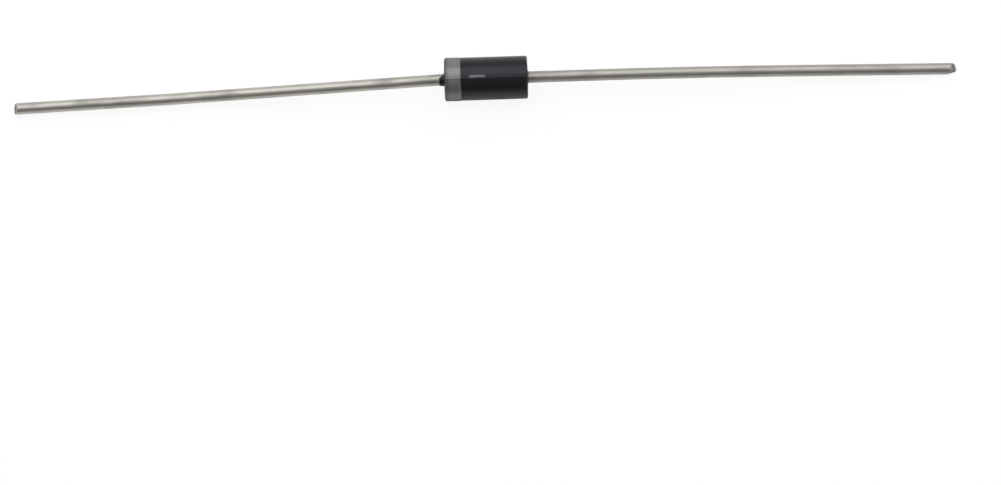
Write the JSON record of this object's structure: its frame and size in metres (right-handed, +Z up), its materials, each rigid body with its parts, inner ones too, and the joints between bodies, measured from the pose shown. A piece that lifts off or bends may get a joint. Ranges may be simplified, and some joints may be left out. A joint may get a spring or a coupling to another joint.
{
  "type": "axial rectifier diode",
  "caption": "Axial rectifier diode: a black moulded cylinder with a silver-grey band at its cathode end and a straight tinned lead from each end.",
  "frame": {"origin": "on the surface that the diode lies on, under the middle of its body", "axes": "+X along the body from the banded cathode end to the anode end, +Z up, with both lead tips bent down to the surface"},
  "size_m": [0.0593, 0.0028, 0.0028],
  "materials": {
    "epoxy": "semi-matt black moulding compound",
    "band_ink": "silver-grey printed ink, slightly grainy",
    "tinned_copper": "satin tin plating on drawn copper wire",
    "silicon": "etched, dark grey",
    "solder": "dull high-lead solder",
    "silicone": "soft milky silicone"
  },
  "bodies": {
    "root": {"epoxy_body": "epoxy", "cathode_band": "band_ink", "cathode_lead": "tinned_copper", "anode_lead": "tinned_copper", "silicon_die": "silicon", "cathode_solder": "solder", "anode_solder": "solder", "junction_coating": "silicone"}
  },
  "joints": []
}
